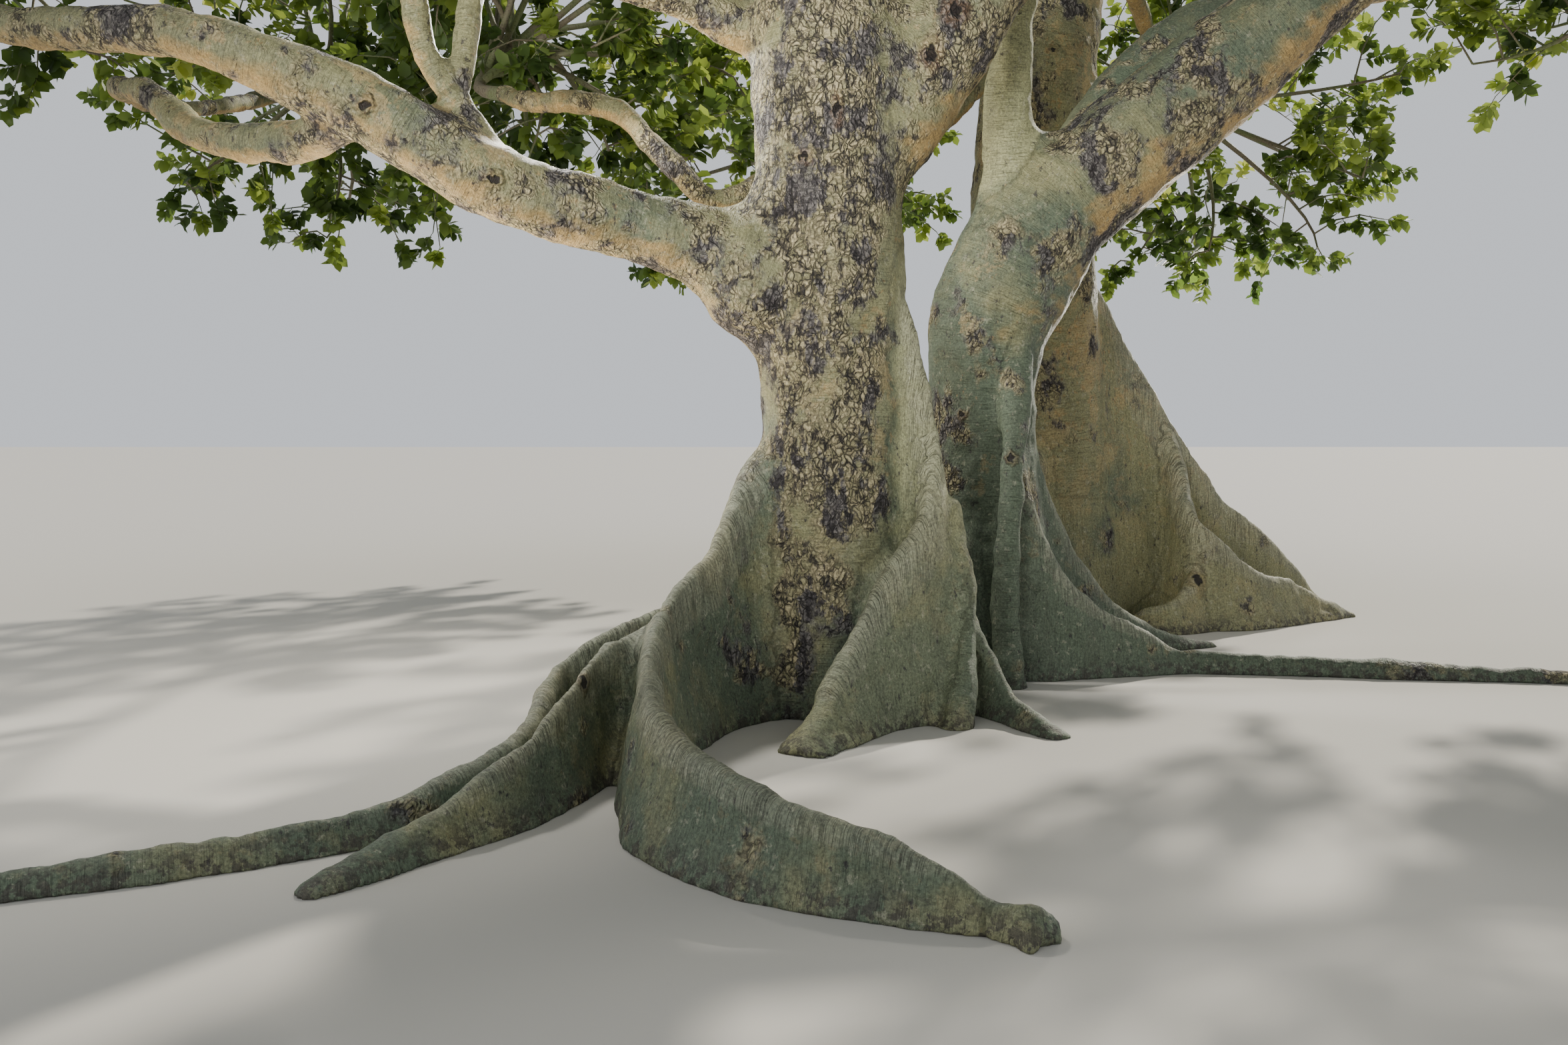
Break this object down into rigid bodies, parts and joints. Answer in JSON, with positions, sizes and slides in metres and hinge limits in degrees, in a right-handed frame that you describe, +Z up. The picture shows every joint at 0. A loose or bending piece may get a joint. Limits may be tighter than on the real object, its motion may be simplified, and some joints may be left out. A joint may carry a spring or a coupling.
{
  "type": "fig tree",
  "caption": "Large old fig tree with plank buttresses round three fused stems, spreading smooth boughs and an open crown of leafy twigs, cut flat at ground level.",
  "frame": {"origin": "centre of the middle stem's foot, on the flat cut at ground level", "axes": "+Z up; +X to the right and +Y to the back of the side that shows the three stems apart"},
  "size_m": [17.7229, 17.7866, 12.7296],
  "materials": {
    "bark": "smooth pale olive bark with flaky grey-brown plates",
    "leaves": "soft matt green leaves"
  },
  "bodies": {
    "root": {"front_bough": "bark", "front_high_bough": "bark", "front_right_bough": "bark", "green_bough": "bark", "inner_foliage": "leaves", "left_bough": "bark", "low_foliage_1": "leaves", "low_foliage_2": "leaves", "low_foliage_3": "leaves", "low_foliage_4": "leaves", "low_foliage_5": "leaves", "low_foliage_6": "leaves", "low_foliage_7": "leaves", "low_foliage_8": "leaves", "low_foliage_9": "leaves", "lower_left_bough": "bark", "middle_foliage_1": "leaves", "middle_foliage_2": "leaves", "middle_foliage_3": "leaves", "middle_foliage_4": "leaves", "middle_foliage_5": "leaves", "middle_foliage_6": "leaves", "middle_foliage_7": "leaves", "middle_leader": "bark", "middle_stem": "bark", "rear_high_bough": "bark", "rear_leader": "bark", "rear_low_bough": "bark", "rear_right_bough": "bark", "rear_right_high_bough": "bark", "rear_right_low_bough": "bark", "rear_stem": "bark", "right_bough": "bark", "right_fork": "bark", "right_high_bough": "bark", "right_stem": "bark", "sweeping_bough": "bark", "top_bough": "bark", "top_foliage_1": "leaves", "top_foliage_2": "leaves", "top_foliage_3": "leaves", "top_foliage_4": "leaves", "upper_left_bough": "bark", "upright_bough": "bark", "upright_left_bough": "bark", "upright_right_bough": "bark"}
  },
  "joints": []
}
